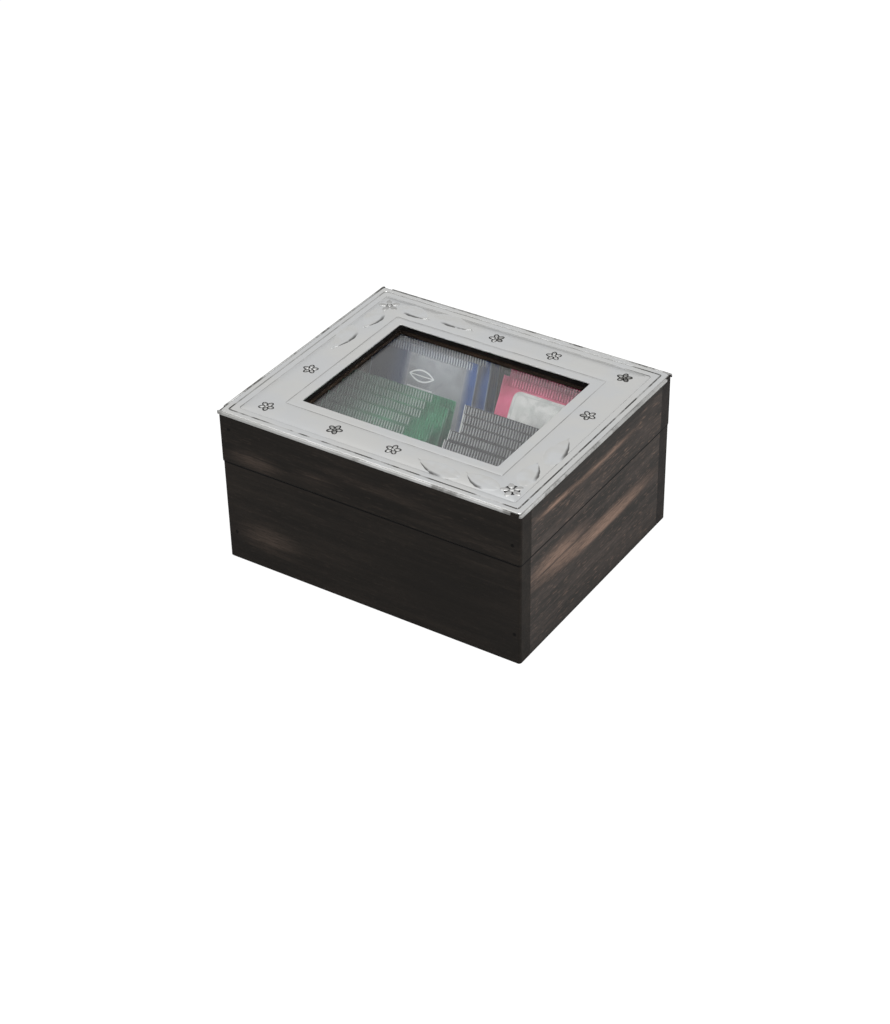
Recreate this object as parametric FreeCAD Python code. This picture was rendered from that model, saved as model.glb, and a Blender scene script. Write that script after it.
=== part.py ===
"""Wooden tea box with a hinged lid, a glass window under a silver frame plate, and four rows of tea packs.

The origin is the middle of the box's footprint. X runs along the long front, Y to the back
where the hinges are, and Z up. All sizes are millimetres and all angles are degrees.
"""
import FreeCAD, Part
import math
import os

# ---------------------------------------------------------------- driving dimensions
BOX_WIDTH = 200.0            # lid, left to right
BOX_DEPTH = 167.5            # lid, front to back
BASE_HEIGHT = 66.8           # ground to the seam between base and lid
LID_HEIGHT = 33.1            # seam to the top of the lid's wood
BOARD = 11.0                 # thickness of the lid's boards
LID_PROUD = 0.4              # the lid stands this far outside the base at the front and sides
EDGE_RADIUS = 1.8            # rounded upright edges of the wood
FOOT_EASE = 0.5              # small bevel round the underside
SEAM_EASE = 0.4              # small bevel on both sides of the seam

FLOOR_RAISE = 3.0            # ground to the underside of the bottom panel
FLOOR_THICKNESS = 5.0
FLOOR_GROOVE = 3.5           # depth of the grooves that hold the bottom panel
DIVIDER_THICKNESS = 3.0
DIVIDER_HEIGHT = 31.0        # above the bottom panel

PANEL_THICKNESS = 6.4        # wooden top panel, glued between the lid's boards
GLASS_THICKNESS = 2.0
GLASS_DEPTH = 4.0            # from the top of the silver plate down to the glass
GLASS_REBATE = 5.0           # how far the rebate reaches past the opening
GLASS_PLAY = 0.3             # between the glass's edge and the rebate
BEAD_HEIGHT = 2.2            # glazing beads under the glass
BEAD_PLAY = 0.1

SHEET = 0.6                  # silver sheet
LIP_DROP = 1.7               # outer lip, from the plate's top to its lower edge
LIP_START = 1.2              # each lip starts this far from the corner
LIP_NOTCH = 7.0              # and stops this far before the next corner
NOTCH_SETBACK = 1.1          # the sheet is trimmed back over the notch
WINDOW_BORDER_X = 35.4       # plate's outer edge to the window, left and right
WINDOW_BORDER_Y = 34.0       # plate's outer edge to the window, front and back
WINDOW_CORNER = 2.0
WINDOW_LIP_DROP = 0.8        # inner lip, folded down into the opening
OUTER_LINES = (4.8, 9.6)     # plate's outer edge to the two outer engraved lines
INNER_LINE = 6.5             # window to the inner engraved line
LINE_WIDTH = 0.7
LINE_DEPTH = 0.25
RELIEF_HEIGHT = 0.45         # embossed flowers and leaves above the sheet

ROSETTE_PETAL = 1.75         # radius of a small rosette's petal
ROSETTE_RING = 2.5           # radius on which its petals lie
FLOWER_PETAL = 2.7
FLOWER_RING = 4.1
FLOWER_SHIFT_X = 2.2         # from the middle of the field towards the corner
LEAF_WIDTH = 12.5
# Leaves along a long side: (distance from the flower, offset outwards, length, angle).
# The short side has the same, mirrored about the corner.
SPRAY_LEAVES = ((7.5, 2.6, 23.5, -11.0), (31.6, 4.4, 29.0, -8.0))
ROSETTE_STEPS_X = (2.5, 49.5, 88.5)    # along a long side, from the end of its field
ROSETTE_STEP_Y = 46.0                  # along a short side, from the same corner

NAIL_HEAD_RADIUS = 1.1
NAIL_HEAD_DEPTH = 0.6
NAIL_RADIUS = 0.7
NAIL_LENGTH = 24.0

HINGE_SPREAD = 112.0         # centre to centre of the two hinges
HINGE_WIDTH = 26.0
LEAF_PLATE_HEIGHT = 13.0
LEAF_PLATE_THICKNESS = 0.9
BARREL_RADIUS = 1.5
PIN_RADIUS = 0.75
PIN_CLEARANCE = 0.08         # radial, in the lid's knuckle
BARREL_GAP = 0.2             # barrel to the wood
KNUCKLE_GAP = 0.3            # between knuckles, and between a leaf and the other leaf's knuckles

PACK_SIDE_PLAY = 6.75        # pack to the compartment's wall, each side, when centred
PACK_HEADROOM = 6.3          # glass to the top of the tallest pack
PACK_THICKNESS = 6.7
PACK_CRIMP = 6.0             # height of the sealed strip at top and bottom
PACK_CRIMP_THICKNESS = 1.0
PACK_GAP = 0.3               # between neighbours in a row
PACK_REST_GAP = 0.15         # between a pack and what it stands or leans on
PACK_SHIFT_MARGIN = 0.5      # least side gap of a shifted pack

# One row of packs in each compartment, listed from the rear pack to the front one.
# side: -1 left, 1 right.  lean: angle of the rear pack.  fan: added to each pack in front of it.
# shifts: sideways place of each pack, as a share of its play.
PACK_ROWS = {
    "blue": {"side": -1, "place": "rear", "lean": 15.0, "fan": 1.55, "shifts": (0.20, -0.12, 0.30, -0.55)},
    "crimson": {"side": 1, "place": "rear", "lean": 24.3, "fan": 2.5, "shifts": (-0.04, -0.78, -0.97)},
    "green": {"side": -1, "place": "front", "lean": 25.5, "fan": 2.5, "shifts": (0.76, 0.60, 0.84, 0.36, 0.52)},
    "black": {"side": 1, "place": "front", "lean": 25.5, "fan": 2.5, "shifts": (-0.97, -0.44, 0.06, -0.54, -0.36)},
}

# Nails through a full-width board into the end of a side board: (side, inset from the end, height).
# Base heights are above the ground, lid heights above the seam.
BASE_NAILS = ((-1, 6.2, 19.0), (1, 3.8, 19.8))
LID_NAILS = ((-1, 6.8, 23.0), (1, 5.2, 12.4))

# ---------------------------------------------------------------- sizes worked out from them
HALF_W = BOX_WIDTH / 2
HALF_D = BOX_DEPTH / 2
INNER_HALF_W = HALF_W - BOARD
INNER_HALF_D = HALF_D - BOARD
LID_TOP = BASE_HEIGHT + LID_HEIGHT
PLATE_TOP = LID_TOP + SHEET
FLOOR_TOP = FLOOR_RAISE + FLOOR_THICKNESS
PANEL_BOTTOM = LID_TOP - PANEL_THICKNESS
GLASS_TOP = PLATE_TOP - GLASS_DEPTH
GLASS_BOTTOM = GLASS_TOP - GLASS_THICKNESS
PLATE_HALF_W = HALF_W + SHEET
PLATE_HALF_D = HALF_D + SHEET
WINDOW_HALF_W = PLATE_HALF_W - WINDOW_BORDER_X
WINDOW_HALF_D = PLATE_HALF_D - WINDOW_BORDER_Y
OPENING_HALF_W = WINDOW_HALF_W + SHEET
OPENING_HALF_D = WINDOW_HALF_D + SHEET
REBATE_HALF_W = OPENING_HALF_W + GLASS_REBATE
REBATE_HALF_D = OPENING_HALF_D + GLASS_REBATE
FIELD_HALF_W = (PLATE_HALF_W - OUTER_LINES[-1] + WINDOW_HALF_W + INNER_LINE) / 2
FIELD_HALF_D = (PLATE_HALF_D - OUTER_LINES[-1] + WINDOW_HALF_D + INNER_LINE) / 2
HINGE_Y = HALF_D + BARREL_GAP + BARREL_RADIUS
COMPARTMENT_WIDTH = INNER_HALF_W - DIVIDER_THICKNESS / 2
PACK_WIDTH = COMPARTMENT_WIDTH - 2 * PACK_SIDE_PLAY
STEEPEST_LEAN = min(row["lean"] for row in PACK_ROWS.values())
PACK_HEIGHT = (GLASS_BOTTOM - FLOOR_TOP - PACK_HEADROOM) / math.cos(math.radians(STEEPEST_LEAN))


def V(x, y, z):
    return FreeCAD.Vector(x, y, z)


def block(x0, x1, y0, y1, z0, z1):
    """Box between two corners."""
    return Part.makeBox(x1 - x0, y1 - y0, z1 - z0, V(x0, y0, z0))


def rounded_block(half_w, half_d, z0, z1, radius):
    """Box centred on Z with its upright edges rounded."""
    body = block(-half_w, half_w, -half_d, half_d, z0, z1)
    upright = [e for e in body.Edges if abs(e.Vertexes[0].Z - e.Vertexes[1].Z) > (z1 - z0) / 2]
    return body.makeFillet(radius, upright)


def cylinder_y(x, y0, z, radius, length):
    return Part.makeCylinder(radius, length, V(x, y0, z), V(0, 1, 0))


def cylinder_x(x0, y, z, radius, length):
    return Part.makeCylinder(radius, length, V(x0, y, z), V(1, 0, 0))


def edges_at(shape, z):
    """Edges that lie wholly at one height."""
    return [e for e in shape.Edges if all(abs(v.Z - z) < 1e-6 for v in e.Vertexes)]


def save(nodes, name, shape):
    """Keeps a finished piece, and checks that it is one sound solid."""
    shape = shape.removeSplitter()
    if len(shape.Solids) != 1 or not shape.isValid():
        raise ValueError(name + " is not one sound solid")
    nodes[name] = shape.Solids[0]


# ---------------------------------------------------------------- wood
def base_block():
    """The base's outside: rounded upright edges, a small bevel underneath and at the seam."""
    width = BOX_WIDTH - 2 * LID_PROUD
    depth = BOX_DEPTH - LID_PROUD
    body = Part.makeBox(width, depth, BASE_HEIGHT, V(-width / 2, HALF_D - depth, 0))
    upright = [e for e in body.Edges if abs(e.Vertexes[0].Z - e.Vertexes[-1].Z) > 1]
    body = body.makeFillet(EDGE_RADIUS, upright)
    body = body.makeChamfer(FOOT_EASE, edges_at(body, 0.0))
    return body.makeChamfer(SEAM_EASE, edges_at(body, BASE_HEIGHT))


def lid_block():
    """The lid's outside: rounded upright edges, a small bevel at the seam."""
    body = rounded_block(HALF_W, HALF_D, BASE_HEIGHT, LID_TOP, EDGE_RADIUS)
    return body.makeChamfer(SEAM_EASE, edges_at(body, BASE_HEIGHT))


def board_zones(z0, z1):
    """Front and back boards run full width; side boards fit between them."""
    reach = 2 * BOARD
    return {
        "front": block(-HALF_W - reach, HALF_W + reach, -HALF_D - reach, -INNER_HALF_D, z0, z1),
        "back": block(-HALF_W - reach, HALF_W + reach, INNER_HALF_D, HALF_D + reach, z0, z1),
        "left": block(-HALF_W - reach, -INNER_HALF_W, -INNER_HALF_D, INNER_HALF_D, z0, z1),
        "right": block(INNER_HALF_W, HALF_W + reach, -INNER_HALF_D, INNER_HALF_D, z0, z1),
    }


def nail(x, y_face, z, inward):
    """A nail driven in from a board's face; inward is 1 for a front board and -1 for a back one."""
    y_head = min(y_face, y_face + inward * NAIL_HEAD_DEPTH)
    y_shank = min(y_face, y_face + inward * NAIL_LENGTH)
    head = cylinder_y(x, y_head, z, NAIL_HEAD_RADIUS, NAIL_HEAD_DEPTH)
    return head.fuse(cylinder_y(x, y_shank, z, NAIL_RADIUS, NAIL_LENGTH))


def nails(part, pattern, z_offset, half_w, y_front):
    """All nails of the base or the lid, at the front and at the back."""
    made = {}
    for side, inset, height in pattern:
        hand = "left" if side < 0 else "right"
        x = side * (half_w - inset)
        made[part + "_nail_front_" + hand] = nail(x, y_front, z_offset + height, 1)
        made[part + "_nail_back_" + hand] = nail(x, HALF_D, z_offset + height, -1)
    return made


def bottom_panel():
    """The bottom panel, with its edges in the boards' grooves."""
    return block(-INNER_HALF_W - FLOOR_GROOVE, INNER_HALF_W + FLOOR_GROOVE,
                 -INNER_HALF_D - FLOOR_GROOVE, INNER_HALF_D + FLOOR_GROOVE, FLOOR_RAISE, FLOOR_TOP)


def make_boards(nodes, part, body, cutters, z0, z1):
    for side, zone in board_zones(z0, z1).items():
        board = body.common(zone)
        for cutter in cutters:
            if board.BoundBox.intersect(cutter.BoundBox):
                board = board.cut(cutter)
        save(nodes, part + "_" + side + "_board", board)


def make_base(nodes):
    base_nails = nails("base", BASE_NAILS, 0.0, HALF_W - LID_PROUD, -HALF_D + LID_PROUD)
    panel = bottom_panel()
    make_boards(nodes, "base", base_block(), [panel] + list(base_nails.values()), 0.0, BASE_HEIGHT)
    save(nodes, "base_bottom_panel", panel)
    for name, shape in base_nails.items():
        save(nodes, name, shape)


def make_dividers(nodes):
    """Two dividers that cross, each notched to half its height over the other."""
    half = DIVIDER_THICKNESS / 2
    top = FLOOR_TOP + DIVIDER_HEIGHT
    middle = FLOOR_TOP + DIVIDER_HEIGHT / 2
    long_one = block(-INNER_HALF_W, INNER_HALF_W, -half, half, FLOOR_TOP, top)
    cross_one = block(-half, half, -INNER_HALF_D, INNER_HALF_D, FLOOR_TOP, top)
    save(nodes, "divider_long", long_one.cut(block(-half, half, -half, half, middle, top)))
    save(nodes, "divider_cross", cross_one.cut(block(-half, half, -half, half, FLOOR_TOP, middle)))


def make_lid_boards(nodes):
    lid_nails = nails("lid", LID_NAILS, BASE_HEIGHT, HALF_W, -HALF_D)
    make_boards(nodes, "lid", lid_block(), list(lid_nails.values()), BASE_HEIGHT, LID_TOP)
    for name, shape in lid_nails.items():
        save(nodes, name, shape)


def make_top_panel(nodes):
    """The wooden ring that carries the plate, rebated from below for the glass."""
    ring = block(-INNER_HALF_W, INNER_HALF_W, -INNER_HALF_D, INNER_HALF_D, PANEL_BOTTOM, LID_TOP)
    opening = rounded_block(OPENING_HALF_W, OPENING_HALF_D, PANEL_BOTTOM - 1, LID_TOP + 1, WINDOW_CORNER)
    rebate = block(-REBATE_HALF_W, REBATE_HALF_W, -REBATE_HALF_D, REBATE_HALF_D, PANEL_BOTTOM - 1, GLASS_TOP)
    save(nodes, "lid_top_panel", ring.cut(opening).cut(rebate))


# ---------------------------------------------------------------- glass
def make_glass(nodes):
    half_w = REBATE_HALF_W - GLASS_PLAY
    half_d = REBATE_HALF_D - GLASS_PLAY
    save(nodes, "window_glass", block(-half_w, half_w, -half_d, half_d, GLASS_BOTTOM, GLASS_TOP))


def make_beads(nodes):
    """Four strips in the rebate that hold the glass up; front and back ones run full length."""
    half_w = REBATE_HALF_W - BEAD_PLAY
    half_d = REBATE_HALF_D - BEAD_PLAY
    width = GLASS_REBATE - BEAD_PLAY
    z0 = GLASS_BOTTOM - BEAD_HEIGHT
    for name, side in (("front", -1), ("back", 1)):
        y0, y1 = sorted((side * half_d, side * (half_d - width)))
        save(nodes, "glass_bead_" + name, block(-half_w, half_w, y0, y1, z0, GLASS_BOTTOM))
    for name, side in (("left", -1), ("right", 1)):
        x0, x1 = sorted((side * half_w, side * (half_w - width)))
        inner = half_d - width
        save(nodes, "glass_bead_" + name, block(x0, x1, -inner, inner, z0, GLASS_BOTTOM))


# ---------------------------------------------------------------- silver plate
def line_ring(half_w, half_d):
    """Cutter for one engraved line that runs round the plate."""
    z0, z1 = PLATE_TOP - LINE_DEPTH, PLATE_TOP + 1
    outer = block(-half_w, half_w, -half_d, half_d, z0, z1)
    inner_w, inner_d = half_w - LINE_WIDTH, half_d - LINE_WIDTH
    return outer.cut(block(-inner_w, inner_w, -inner_d, inner_d, z0 - 1, z1 + 1))


def lip_notches():
    """Cutters that end each outer lip; every side starts at one corner and stops before the next."""
    cutters = []
    low, high = PLATE_TOP - LIP_DROP - 1, PLATE_TOP + 1
    under = LID_TOP
    for turn in range(4):
        along = (PLATE_HALF_W, PLATE_HALF_D)[turn % 2]
        out = (PLATE_HALF_D, PLATE_HALF_W)[turn % 2]
        end = block(along - LIP_NOTCH, along + 1, -out - 1, -out + SHEET, low, under)
        start = block(-along - 1, -along + LIP_START, -out - 1, -out + SHEET, low, under)
        trim = block(along - LIP_NOTCH, along - LIP_START, -out - 1, -out + NOTCH_SETBACK, low, high)
        for cutter in (end, start, trim):
            cutter.rotate(V(0, 0, 0), V(0, 0, 1), 90 * turn)
            cutters.append(cutter)
    return cutters


def blossom(x, y, ring, petal):
    """Five round petals about a round middle."""
    z = LID_TOP + SHEET / 2
    height = PLATE_TOP + RELIEF_HEIGHT - z
    parts = [Part.makeCylinder(petal * 0.8, height + RELIEF_HEIGHT / 4, V(x, y, z))]
    for i in range(5):
        angle = math.radians(90 + 72 * i)
        centre = V(x + ring * math.cos(angle), y + ring * math.sin(angle), z)
        parts.append(Part.makeCylinder(petal, height, centre))
    return parts


def embossed_leaf(x, y, length, angle):
    """A pointed leaf, drawn by two arcs, whose stalk end is at x, y."""
    z = LID_TOP + SHEET / 2
    tip = V(length, 0, 0)
    upper = Part.Arc(V(0, 0, 0), V(length / 2, LEAF_WIDTH / 2, 0), tip).toShape()
    lower = Part.Arc(tip, V(length / 2, -LEAF_WIDTH / 2, 0), V(0, 0, 0)).toShape()
    leaf = Part.Face(Part.Wire([upper, lower])).extrude(V(0, 0, PLATE_TOP + RELIEF_HEIGHT - z))
    leaf.rotate(V(0, 0, 0), V(0, 0, 1), angle)
    leaf.translate(V(x, y, z))
    return leaf


def rosette_places():
    """Four small rosettes by the back right corner, and their half-turn copies."""
    places = [(FIELD_HALF_W - step, FIELD_HALF_D) for step in ROSETTE_STEPS_X]
    places.append((FIELD_HALF_W, FIELD_HALF_D - ROSETTE_STEP_Y))
    return places + [(-x, -y) for x, y in places]


def corner_spray(x, y):
    """A flower in the back left corner of the plate with two leaves along each side."""
    parts = blossom(x, y, FLOWER_RING, FLOWER_PETAL)
    for along, out, length, angle in SPRAY_LEAVES:
        parts.append(embossed_leaf(x + along, y + out, length, angle))
        parts.append(embossed_leaf(x - out, y - along, length, -90 - angle))
    return parts


def plate_relief():
    parts = []
    for x, y in rosette_places():
        parts += blossom(x, y, ROSETTE_RING, ROSETTE_PETAL)
    spray = corner_spray(-FIELD_HALF_W - FLOWER_SHIFT_X, FIELD_HALF_D)
    parts += spray
    for part in spray:
        turned = part.copy()
        turned.rotate(V(0, 0, 0), V(0, 0, 1), 180)
        parts.append(turned)
    return parts


def make_plate(nodes):
    """Thin sheet over the lid, lipped over its outer edge and down into the window."""
    radius = EDGE_RADIUS + SHEET
    plate = rounded_block(PLATE_HALF_W, PLATE_HALF_D, PLATE_TOP - LIP_DROP, PLATE_TOP, radius)
    plate = plate.makeFillet(SHEET / 2, edges_at(plate, PLATE_TOP))
    plate = plate.cut(rounded_block(HALF_W, HALF_D, PLATE_TOP - LIP_DROP - 1, LID_TOP, EDGE_RADIUS))
    collar = rounded_block(OPENING_HALF_W, OPENING_HALF_D, PLATE_TOP - WINDOW_LIP_DROP, PLATE_TOP,
                           WINDOW_CORNER)
    window = rounded_block(WINDOW_HALF_W, WINDOW_HALF_D, PLATE_TOP - LIP_DROP - 1, PLATE_TOP + 1,
                           WINDOW_CORNER - SHEET / 2)
    plate = plate.fuse(collar).cut(window)
    for inset in OUTER_LINES:
        plate = plate.cut(line_ring(PLATE_HALF_W - inset, PLATE_HALF_D - inset))
    plate = plate.cut(line_ring(WINDOW_HALF_W + INNER_LINE, WINDOW_HALF_D + INNER_LINE))
    for cutter in lip_notches():
        plate = plate.cut(cutter)
    save(nodes, "silver_plate", plate.fuse(plate_relief()))


# ---------------------------------------------------------------- hinges
def knuckle_spans(x):
    """Three equal knuckles along the hinge: the base's two and the lid's between them."""
    span = HINGE_WIDTH / 3
    left = x - HINGE_WIDTH / 2
    gap = KNUCKLE_GAP / 2
    return [(left, left + span - gap), (left + span + gap, left + 2 * span - gap),
            (left + 2 * span + gap, left + HINGE_WIDTH)]


def hinge_leaf(x, up, own, others):
    """A flat leaf with its own knuckles, cleared round the other leaf's knuckles."""
    z0, z1 = sorted((BASE_HEIGHT, BASE_HEIGHT + up * LEAF_PLATE_HEIGHT))
    leaf = block(x - HINGE_WIDTH / 2, x + HINGE_WIDTH / 2, HALF_D, HALF_D + LEAF_PLATE_THICKNESS, z0, z1)
    clear = BARREL_RADIUS + KNUCKLE_GAP
    for x0, x1 in others:
        room = block(x0 - KNUCKLE_GAP, x1 + KNUCKLE_GAP, HALF_D - 1, HALF_D + 2 * clear,
                     BASE_HEIGHT - clear, BASE_HEIGHT + clear)
        leaf = leaf.cut(room)
    for x0, x1 in own:
        leaf = leaf.fuse(cylinder_x(x0, HINGE_Y, BASE_HEIGHT, BARREL_RADIUS, x1 - x0))
    return leaf


def make_hinges(nodes):
    for name, x in (("left", -HINGE_SPREAD / 2), ("right", HINGE_SPREAD / 2)):
        first, middle, last = knuckle_spans(x)
        x0 = x - HINGE_WIDTH / 2
        pin = cylinder_x(x0, HINGE_Y, BASE_HEIGHT, PIN_RADIUS, HINGE_WIDTH)
        bore = cylinder_x(x0, HINGE_Y, BASE_HEIGHT, PIN_RADIUS + PIN_CLEARANCE, HINGE_WIDTH)
        save(nodes, "hinge_base_leaf_" + name, hinge_leaf(x, -1, [first, last], [middle]).cut(pin))
        save(nodes, "hinge_lid_leaf_" + name, hinge_leaf(x, 1, [middle], [first, last]).cut(bore))
        save(nodes, "hinge_pin_" + name, pin)


# ---------------------------------------------------------------- tea packs
def lens(half_length, edge, middle):
    """Closed outline of a lens: two arcs between short flat ends, as (along, across) corners."""
    corners = [(-half_length, -edge), (half_length, -edge), (half_length, edge), (-half_length, edge)]
    return corners, (0.0, -middle), (0.0, middle)


def lens_face(half_length, edge, middle, place):
    """Fills a lens outline; place turns (along, across) into a point in space."""
    corners, low, high = lens(half_length, edge, middle)
    a, b, c, d = [place(*corner) for corner in corners]
    edges = [Part.Arc(a, place(*low), b).toShape(), Part.LineSegment(b, c).toShape(),
             Part.Arc(c, place(*high), d).toShape(), Part.LineSegment(d, a).toShape()]
    return Part.Face(Part.Wire(edges))


def tea_pack():
    """A sealed pack: a pillow between two flat crimped strips, standing on the origin."""
    half_t = PACK_THICKNESS / 2
    half_c = PACK_CRIMP_THICKNESS / 2
    half_w = PACK_WIDTH / 2
    mid = PACK_HEIGHT / 2
    swell = PACK_HEIGHT / 2 - PACK_CRIMP
    side = lens_face(swell, half_c, half_t, lambda s, t: V(-half_w, t, mid + s))
    pillow = side.extrude(V(2 * half_w, 0, 0))
    # The plan is a little fuller than the side, so the two curves cross clear of the
    # pack's middle and of its corners.
    plan = lens_face(half_w, 1.3 * half_c, 1.08 * half_t, lambda s, t: V(s, t, 0))
    pillow = pillow.common(plan.extrude(V(0, 0, PACK_HEIGHT)))
    for z in (0.0, PACK_HEIGHT - PACK_CRIMP):
        pillow = pillow.fuse(block(-half_w, half_w, -half_c, half_c, z, z + PACK_CRIMP))
    return pillow.removeSplitter()


def rear_pack_y(row):
    """Where the rear pack stands, so that its back just meets the back board or the divider."""
    lean = math.radians(row["lean"])
    if row["place"] == "rear":
        rest = INNER_HALF_D - PACK_REST_GAP - PACK_CRIMP_THICKNESS / 2 * math.cos(lean)
        return rest - PACK_HEIGHT * math.sin(lean)
    back_offset = DIVIDER_HEIGHT * math.sin(lean) + PACK_THICKNESS / 2 + PACK_REST_GAP
    return -DIVIDER_THICKNESS / 2 - back_offset / math.cos(lean)


def row_places(row, fan):
    """(y, lean) of each pack: neighbours touch halfway up, less a small gap."""
    y = rear_pack_y(row)
    lean = row["lean"]
    places = [(y, lean)]
    reach = PACK_THICKNESS + PACK_GAP + PACK_HEIGHT / 2 * math.sin(math.radians(fan))
    for _ in row["shifts"][1:]:
        y -= reach / math.cos(math.radians(lean))
        lean += fan
        places.append((y, lean))
    return places


def fitted_row(row):
    """The row with its own fan, or with the widest fan that keeps it off the wall in front of it."""
    wall = DIVIDER_THICKNESS / 2 if row["place"] == "rear" else -INNER_HALF_D
    limit = wall + PACK_CRIMP_THICKNESS
    fan = row["fan"]
    while row_places(row, fan)[-1][0] < limit and fan > -row["fan"]:
        fan -= 0.05
    return row_places(row, fan)


def make_packs(nodes):
    pack = tea_pack()
    play = PACK_SIDE_PLAY - PACK_SHIFT_MARGIN
    middle = DIVIDER_THICKNESS / 2 + COMPARTMENT_WIDTH / 2
    for colour, row in PACK_ROWS.items():
        for i, (y, lean) in enumerate(fitted_row(row)):
            x = row["side"] * middle + row["shifts"][i] * play
            rise = PACK_CRIMP_THICKNESS / 2 * math.sin(math.radians(lean)) + PACK_REST_GAP
            placed = pack.copy()
            placed.rotate(V(0, 0, 0), V(1, 0, 0), -lean)
            placed.translate(V(x, y, FLOOR_TOP + rise))
            save(nodes, "pack_" + colour + "_" + str(i + 1), placed)


def main():
    nodes = {}
    make_base(nodes)
    make_dividers(nodes)
    make_lid_boards(nodes)
    make_top_panel(nodes)
    make_glass(nodes)
    make_beads(nodes)
    make_plate(nodes)
    make_hinges(nodes)
    make_packs(nodes)
    os.makedirs("parts", exist_ok=True)
    for name, shape in nodes.items():
        shape.exportStep("parts/" + name + ".step")
    print(len(nodes), "nodes; packs are", round(PACK_WIDTH, 1), "by", round(PACK_HEIGHT, 1), "mm")


main()
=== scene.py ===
import bmesh
import bpy
import math
from mathutils import Matrix, Vector


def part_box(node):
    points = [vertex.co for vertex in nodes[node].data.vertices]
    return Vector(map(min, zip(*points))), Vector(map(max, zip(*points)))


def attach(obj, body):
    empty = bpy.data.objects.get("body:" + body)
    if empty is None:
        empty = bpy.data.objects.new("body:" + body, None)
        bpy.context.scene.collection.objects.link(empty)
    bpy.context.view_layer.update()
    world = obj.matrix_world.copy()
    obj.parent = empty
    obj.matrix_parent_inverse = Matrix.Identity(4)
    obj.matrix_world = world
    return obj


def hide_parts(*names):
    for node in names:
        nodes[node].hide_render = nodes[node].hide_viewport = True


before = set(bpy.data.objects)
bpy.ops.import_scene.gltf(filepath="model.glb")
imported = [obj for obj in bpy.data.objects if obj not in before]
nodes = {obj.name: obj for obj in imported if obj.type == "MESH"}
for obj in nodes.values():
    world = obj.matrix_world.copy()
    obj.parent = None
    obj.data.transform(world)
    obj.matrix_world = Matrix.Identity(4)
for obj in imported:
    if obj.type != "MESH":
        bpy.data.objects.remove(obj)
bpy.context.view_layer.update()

MM = 0.001

# ------------------------ sizes, in millimetres
SEAM_HEIGHT = 66.8           # ground to the seam between base and lid
SKIN_HALF_W = 98.6           # middle to just inside the outer faces of the side boards
SKIN_HALF_D = 82.2           # the same for the front and back boards

PLATE_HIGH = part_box("silver_plate")[1]
PLATE_HALF_W = PLATE_HIGH.x / MM
PLATE_HALF_D = PLATE_HIGH.y / MM
RELIEF = 0.45                # embossing above the sheet
MIDDLE_RISE = 1.25           # height of a flower's middle, as a share of RELIEF
PLATE_TOP = PLATE_HIGH.z / MM - MIDDLE_RISE * RELIEF
SHEET_THICKNESS = 0.45
SHEET_CORNER = 1.8           # rounding of the sheet's corners
SHEET_SETBACK = 1.1          # plate's outer edge to the sheet's own edge
RIM_SLOPE = (1.6, 1.9)       # plate's outer edge to the rim's short slope
RIM_RISE = 0.35              # how far that slope rises
LIP_DROP = 1.7               # how far an outer lip is folded down
LIP_WIDTH = 1.5
LIP_NOTCH = 7.0              # each lip stops this far before the next corner
WINDOW_HALF_W = PLATE_HALF_W - 35.4
WINDOW_HALF_D = PLATE_HALF_D - 34.0
OUTER_GROOVES = ((9.1, 9.5), (4.5, 5.6), (1.1, 1.7))    # plate's outer edge to each groove
FIELD_EDGE = 9.6             # plate's outer edge to the field
INNER_LINE = 6.5             # window to the engraved line round it
INNER_LINE_WIDTH = 0.6
FIELD_HALF_W = (PLATE_HALF_W - FIELD_EDGE + WINDOW_HALF_W + INNER_LINE) / 2
FIELD_HALF_D = (PLATE_HALF_D - FIELD_EDGE + WINDOW_HALF_D + INNER_LINE) / 2

LEAF_WIDTH = 12.5
LEAF_BOW = 0.8               # how far a leaf's midrib bows sideways
LEAF_SWEEP = 0.07            # how far its sides lie back, as a share of its length
LEAF_COLUMNS = 30
LEAF_LOBES = 5
# across a leaf, midrib to edge: share of the half width, share of the height
LEAF_ROWS = ((0.0, 0.62), (0.2, 0.90), (0.4, 1.0), (0.6, 0.97), (0.8, 0.78), (1.0, 0.0))
# each leaf of a spray: along the side from the corner flower, outwards, length, turn in degrees
SPRAY_LEAVES = ((7.5, 2.6, 23.5, -11.0), (31.6, 4.4, 29.0, -8.0))
PETALS = 5
FLOWER_RING = 4.1            # radius on which a corner flower's petals lie
FLOWER_PETAL = 2.7
FLOWER_X = FIELD_HALF_W + 2.2
FLOWER_Y = FIELD_HALF_D
FLOWER_GROUNDS = (2.1, 4.6)  # radius of the dark round under the back and the front one
ROSETTE_RING = 2.5
ROSETTE_PETAL = 1.75
ROSETTE_STEPS_X = (2.5, 49.5, 88.5)    # from the field's corner to each rosette
ROSETTE_STEP_Y = 46.0
GROUND_SINK = 0.3            # plate's top to the foot of a dark ground

PACK_WIDTH = 74.0
PACK_HEIGHT = 83.0
PACK_THICKNESS = 6.7
CRIMP = 6.0                  # height of the sealed strips
CRIMP_THICKNESS = 1.0
CRIMP_RIBS = 41
RIB_DEPTH = 0.27
FOIL = 0.24                  # both layers of a sealed strip

HINGE_LEAF = 0.9
SCREW_RADIUS = 1.35
SCREW_DEPTH = 0.5
SCREW_STEP = 8.2             # middle of a hinge leaf to a screw
SCREW_EDGE = 5.2             # a screw to the hinge leaf's far edge

# the camera: lens in millimetres, turns in degrees, place in metres
LENS = 79.8
EYE_HEADING = 33.402
EYE_DOWN = 34.69
EYE_ROLL = -1.152
EYE_PLACE = (0.6048, -0.9215, 0.7803)
LAMP_AIM = (0, 0, 0.06)      # in metres

SILVER = (0.645, 0.655, 0.66, 1.0)


# ------------------------ workbench
def clear_selection():
    """Leaves edit mode and lets go of everything."""
    if bpy.context.mode != "OBJECT":
        bpy.ops.object.mode_set(mode="OBJECT")
    bpy.ops.object.select_all(action="DESELECT")


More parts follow.
